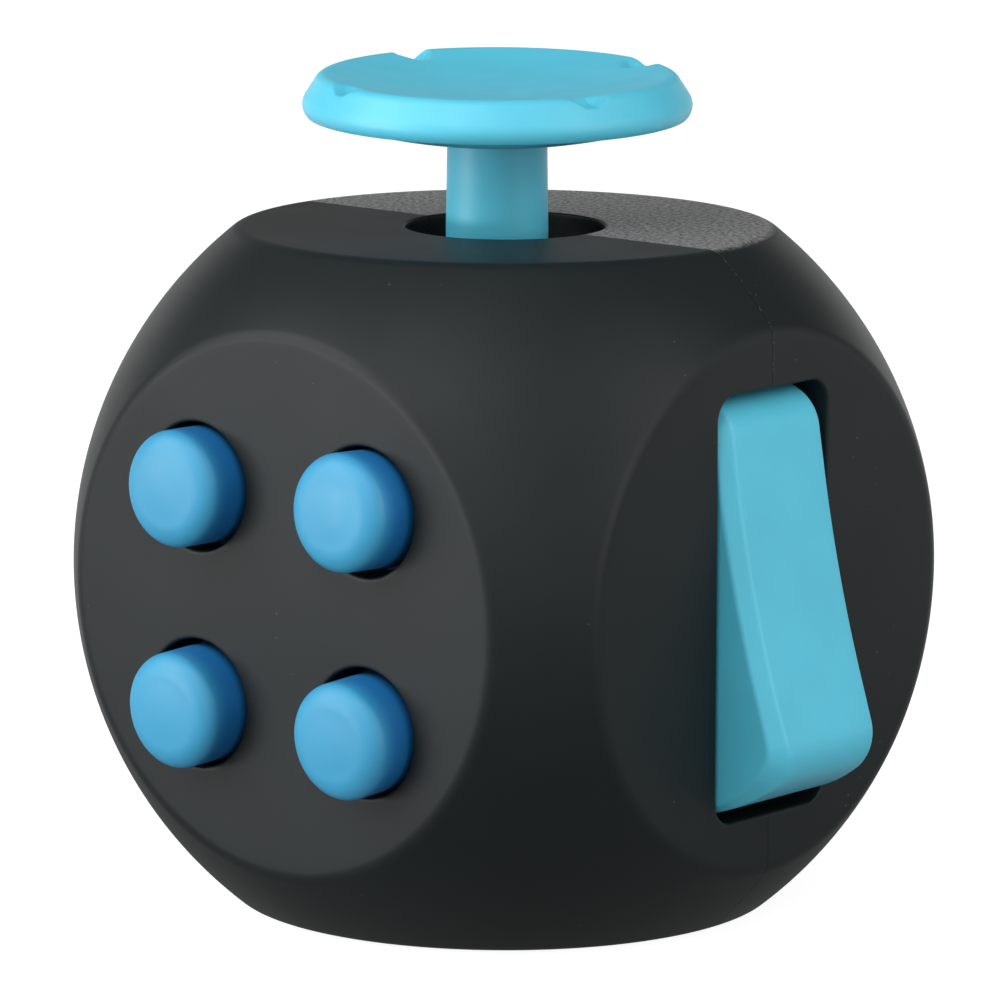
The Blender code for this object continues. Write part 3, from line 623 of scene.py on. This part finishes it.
def rocker_outline():
    """The paddle's side as (out of the face, up) points, anticlockwise from the lower corner."""
    radius = ROCKER_CORNER_RADIUS
    hollow = ROCKER_MIDDLE + ROCKER_FACE_RADIUS
    reach = ROCKER_END_RADIUS - radius
    middle_x = (hollow**2 + reach**2 - (ROCKER_FACE_RADIUS + radius) ** 2) / (2 * hollow)
    middle = (middle_x, math.sqrt(reach**2 - middle_x**2))
    lean = math.degrees(math.atan2(middle[1], hollow - middle[0]))
    turn = math.degrees(math.atan2(middle[1], middle[0]))
    face = [(hollow - x, y) for x, y in arc(ROCKER_FACE_RADIUS, 0, lean, 20)]
    corner = arc(radius, -lean, turn, 14, middle)[1:]
    end = arc(ROCKER_END_RADIUS, turn, ROCKER_END_TURN, 8)[1:]
    back = [end[-1], (0.0, 9.6), (0.05, 8.4), (-0.2, 6.6), (-0.75, 4.9), (-1.2, 3.2), (-1.7, 2.1),
            (-2.2, 1.15), (-2.55, 0.45)]
    upper = face + corner + end + smooth_curve(back, 3)[1:]
    lower = [(x, -y) for x, y in reversed(upper[1:])]
    return upper + [(-2.7, 0)] + lower


def edge_profile():
    """A chamfer with rounded corners, from the outline at (1, 0) to the side at (0, 1)."""
    radius = ROCKER_CHAMFER / math.tan(QUARTER / 4)
    first = arc(radius, 0, 45, 6, (1 - radius, 0))
    last = arc(radius, 45, 90, 6, (0, 1 - radius))
    return first + between(first[-1], last[0], 4) + last


def make_rocker():
    points = [Vector(p) for p in rocker_outline()]
    count = len(points)
    normals = []
    for i, point in enumerate(points):
        along = points[(i + 1) % count] - points[i - 1]
        normals.append(Vector((along.y, -along.x)).normalized())
    fillets = []  # wider towards the face and its ends
    for point in points:
        front = min(1, max(0, (point.x - 1.5) / 2.5))
        end = min(1, max(0, (abs(point.y) - 6.5) / 2.2)) * front
        fillets.append(0.35 + 0.45 * front + 0.2 * end)
    smooth = [sum(fillets[(i + k) % count] for k in range(-3, 4)) / 7 for i in range(count)]
    bm = bmesh.new()
    rows = []
    for side in (-1, 1):
        for across, down in edge_profile() if side > 0 else edge_profile()[::-1]:
            row = []
            for point, normal, fillet in zip(points, normals, smooth):
                inset = point - normal * fillet * (1 - across)
                width = side * (ROCKER_HALF_WIDTH - fillet * (1 - down))
                row.append((inset.x, inset.y, width))
            rows.append(loop(bm, row))
    for a, b in zip(rows, rows[1:]):
        bridge(bm, a, b)
    fill(bm, [rows[0]], (0, 0, -1))
    fill(bm, [rows[-1]], (0, 0, 1))
    pivot = TOP @ Matrix.Translation((ROCKER_PIVOT, ROCKER_SHIFT, 0)) @ Matrix.Rotation(QUARTER, 4, "X")
    matrix = pivot @ Matrix.Rotation(ROCKER_TILT, 4, "Z")
    piece("rocker_paddle_skin", bm, matrix, turquoise, "rocker", ["rocker_paddle"])


# ---------------------------------------------------------------- dial, rollers and ball

def make_dial():
    def fluted(x, y, z):
        angle = math.atan2(y, x)
        step = 2 * math.pi / DIAL_FLUTES
        off = abs((angle + step / 2) % step - step / 2)
        radius = math.hypot(x, y)
        across = radius * off
        if z < DIAL_BASE - 0.01 or radius < DIAL_RADIUS - 0.8:
            return x, y, z
        cut = FLUTE_DEPTH * 0.5 * (1 + math.cos(math.pi * min(1, across / FLUTE_HALF_WIDTH)))
        keep = min(radius, DIAL_RADIUS - cut) / radius
        return x * keep, y * keep, z

    face = dish(DIAL_RADIUS - 1.1, DIAL_TOP - 0.1, 0.6, 14)
    edge = arc(0.7, 85, 0, 8, (DIAL_RADIUS - 0.7, DIAL_TOP - 0.7))
    back = [(DIAL_RADIUS, DIAL_BASE + 0.2), (DIAL_RADIUS - 0.2, DIAL_BASE), (1.6, DIAL_BASE), (1.6, 13.1),
            (0.8, 13.1), (0.8, 16.4), (0, 16.4)]
    bm = lathe(face + edge + back, 240, fluted)
    piece("dial_knob_skin", bm, LEFT, turquoise, "dial", ["dial_knob"])


def toothed_outline(inset, height):
    """A roller's outline, drawn in by the inset. Each tooth is centred at 0.65 of its pitch."""
    count = ROLLER_TEETH * TOOTH_STEPS
    points = []
    for j in range(count):
        phase = j / TOOTH_STEPS % 1
        rise = min(1, max(0, (0.5 - abs(phase - 0.65) * 2 + 0.15) / 0.3))
        rise = rise * rise * (3 - 2 * rise)
        radius = ROLLER_ROOT + (ROLLER_TIP - ROLLER_ROOT) * rise - inset
        angle = 2 * math.pi * j / count
        points.append((radius * math.cos(angle), radius * math.sin(angle), height))
    return points


def make_rollers():
    for i in (1, 2, 3):
        name = f"roller_gear_{i}"
        low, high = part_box(name)
        middle = (low + high) / 2
        bm = bmesh.new()
        rows = []
        for side in (-1, 1):
            for k in range(5) if side > 0 else range(4, -1, -1):
                turn = QUARTER * k / 4
                inset = ROLLER_FILLET * (1 - math.cos(turn))
                height = side * (ROLLER_HALF_WIDTH - ROLLER_FILLET * (1 - math.sin(turn)))
                rows.append(loop(bm, toothed_outline(inset, height)))
        for a, b in zip(rows, rows[1:]):
            bridge(bm, a, b)
        bore = [loop(bm, circle(ROLLER_BORE, side * ROLLER_HALF_WIDTH, 48)) for side in (-1, 1)]
        bridge(bm, *bore)
        fill(bm, [rows[0], bore[0]], (0, 0, -1))
        fill(bm, [rows[-1], bore[1]], (0, 0, 1))
        matrix = Matrix.Translation(middle) @ Matrix.Rotation(QUARTER, 4, "Y") @ Matrix.Scale(MM, 4)
        piece(f"{name}_skin", bm, matrix, white_nylon, f"roller_{i}", [name])


def make_ball():
    low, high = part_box("rolling_ball")
    bm = bmesh.new()
    bmesh.ops.create_icosphere(bm, subdivisions=5, radius=BALL_RADIUS)
    matrix = Matrix.Translation((low + high) / 2) @ Matrix.Scale(MM, 4)
    piece("rolling_ball_skin", bm, matrix, steel, "ball", ["rolling_ball"])


# ---------------------------------------------------------------- finishes of the CAD nodes that stay

def dress_nodes():
    finishes = {
        "white_nylon": white_nylon,
        "dark_nylon": dark_nylon,
        "steel": steel,
        "spring_steel": spring_steel,
    }
    for part in frame["record"]["subparts"]:
        finish = finishes.get(part["material_slot"])
        if finish:
            for slot in nodes[part["node"]].material_slots:
                slot.material = finish


# ---------------------------------------------------------------- stage

# name: (direction, distance, (width, height), watts)
LIGHTS = {
    "left_front": ((-0.28, -0.95, 0.1), 0.5, (0.3, 0.3), 0.36),
    "left_high": ((-0.55, -0.65, 0.5), 0.5, (0.3, 0.3), 1.45),
    "left_low": ((-0.5, -0.75, -0.03), 0.5, (0.3, 0.05), 1.88),
    "above_front": ((0.1, -0.55, 0.8), 0.5, (0.3, 0.3), 0.87),
    "front": ((0.4, -0.85, 0.35), 0.7, (0.4, 0.4), 0.65),
    "front_right": ((0.75, -0.6, 0.25), 0.7, (0.4, 0.4), 0.39),
    "upper_right": ((0.75, 0.1, 0.7), 0.5, (0.3, 0.3), 0.67),
    "right": ((1, 0.1, 0.2), 0.5, (0.3, 0.3), 0.73),
    "right_behind": ((0.72, 0.68, 0.15), 0.5, (0.3, 0.3), 0.2),
}
# The same for panels behind the cube, which only show as a sheen along its outline
BACKDROPS = {
    "backdrop": ((-0.643, 0.766, 0.2), 0.6, (0.56, 0.23), 0.13),
    "backdrop_left": ((-0.927, 0.375, 0.1), 0.6, (0.26, 0.16), 0.1),
    "backdrop_right": ((-0.208, 0.978, 0.1), 0.6, (0.26, 0.16), 0.1),
}
BEHIND = (-0.643, 0.766, 0)  # level, towards the first panel
SKY = 0.12
FLOOR_HALF, FLOOR_ALBEDO = 3, 0.3
FLOOR_GLOW, FLOOR_SHEEN, FLOOR_BEHIND, FLOOR_BOUNCE = 0.9, 0.29, 0.9, 0.8
FLOOR_RAMP = (0.0, 0.05)  # from how far behind the cube's middle to how far the mirrored floor brightens
SHEEN_HEIGHT, BOUNCE_HEIGHT = -0.00005, -0.0001


def ground(name, albedo, glow, height):
    """A flat, matt sheet at that height, which glows as well as it scatters light."""
    bm = bmesh.new()
    bmesh.ops.create_grid(bm, x_segments=1, y_segments=1, size=FLOOR_HALF)
    bm.transform(Matrix.Translation((0, 0, height)))
    mesh = bpy.data.meshes.new(name)
    bm.to_mesh(mesh)
    bm.free()
    floor = bpy.data.objects.new(name, mesh)
    bpy.context.scene.collection.objects.link(floor)
    paper = bpy.data.materials.new(name)
    paper.use_nodes = True
    shader = paper.node_tree.nodes["Principled BSDF"]
    shader.inputs["Base Color"].default_value = (albedo, albedo, albedo, 1)
    shader.inputs["Roughness"].default_value = 1
    shader.inputs["Specular IOR Level"].default_value = 0
    shader.inputs["Emission Color"].default_value = (1, 1, 1, 1)
    shader.inputs["Emission Strength"].default_value = glow
    mesh.materials.append(paper)
    return floor


def make_floor():
    """A white floor to look at. Just under it, one is mirrored in the cube and another throws light up."""
    floor = ground("floor", FLOOR_ALBEDO, FLOOR_GLOW, 0)
    floor.visible_diffuse = False
    floor.visible_glossy = False
    sheen = ground("floor_sheen", 0, FLOOR_SHEEN, SHEEN_HEIGHT)
    sheen.visible_camera = False
    sheen.visible_diffuse = False
    tree = sheen.data.materials[0].node_tree
    place = tree.nodes.new("ShaderNodeTexCoord")
    dot = tree.nodes.new("ShaderNodeVectorMath")
    dot.operation = "DOT_PRODUCT"
    dot.inputs[1].default_value = BEHIND
    ramp = tree.nodes.new("ShaderNodeMapRange")
    ends = (*FLOOR_RAMP, FLOOR_SHEEN, FLOOR_BEHIND)
    for socket, number in zip(("From Min", "From Max", "To Min", "To Max"), ends):
        ramp.inputs[socket].default_value = number
    tree.links.new(place.outputs["Object"], dot.inputs[0])
    tree.links.new(dot.outputs["Value"], ramp.inputs["Value"])
    tree.links.new(ramp.outputs["Result"], tree.nodes["Principled BSDF"].inputs["Emission Strength"])
    bounce = ground("floor_bounce", FLOOR_BOUNCE, 0, BOUNCE_HEIGHT)
    bounce.visible_camera = False


def area_light(name, direction, distance, size, power):
    """A rectangular soft box that faces the cube from that direction."""
    data = bpy.data.lights.new(name, "AREA")
    data.shape = "RECTANGLE"
    data.size, data.size_y = size
    data.energy = power
    light = bpy.data.objects.new(name, data)
    bpy.context.scene.collection.objects.link(light)
    away = Vector(direction).normalized()
    light.location = CENTRE + away * distance
    light.rotation_euler = away.to_track_quat("Z", "Y").to_euler()
    return light


def make_lights():
    world = bpy.data.worlds.new("studio")
    world.use_nodes = True
    bpy.context.scene.world = world
    background = world.node_tree.nodes["Background"]
    background.inputs["Color"].default_value = (SKY, SKY, SKY, 1)
    for name, (direction, distance, size, power) in LIGHTS.items():
        area_light(name, direction, distance, size, power)
    for name, (direction, distance, size, power) in BACKDROPS.items():
        area_light(name, direction, distance, size, power).visible_diffuse = False


CAMERA_LENS, CAMERA_SENSOR, CAMERA_CLIP = 262, 36, (0.01, 20)
CAMERA_AZIMUTH, CAMERA_ELEVATION, CAMERA_ROLL = math.radians(40.04), math.radians(10.76), math.radians(0.18)
CAMERA_DISTANCE = 0.3556
CAMERA_UP, CAMERA_LEFT = 0.0029, 0.0002  # where it aims, from the cube's centre


def make_camera():
    data = bpy.data.cameras.new("camera")
    data.sensor_width = CAMERA_SENSOR
    data.lens = CAMERA_LENS
    data.clip_start, data.clip_end = CAMERA_CLIP
    camera = bpy.data.objects.new("camera", data)
    bpy.context.scene.collection.objects.link(camera)
    turn = Matrix.Rotation(CAMERA_AZIMUTH, 3, "Z")
    tip = Matrix.Rotation(QUARTER - CAMERA_ELEVATION, 3, "X")
    roll = Matrix.Rotation(CAMERA_ROLL, 3, "Z")
    right, up, back = (turn @ tip @ roll).col
    place = CENTRE + back * CAMERA_DISTANCE
    target = CENTRE + up * CAMERA_UP - right * CAMERA_LEFT
    away = (place - target).normalized()
    side = up.cross(away).normalized()
    aim = Matrix((side, away.cross(side), away)).transposed()
    camera.matrix_world = Matrix.Translation(place) @ aim.to_4x4()
    bpy.context.scene.camera = camera
    bpy.context.scene.view_settings.view_transform = "Standard"


make_camera()
make_floor()
make_lights()
make_casing()
make_thumb_pad()
make_joystick()
make_buttons()
make_rocker()
make_dial()
make_rollers()
make_ball()
dress_nodes()
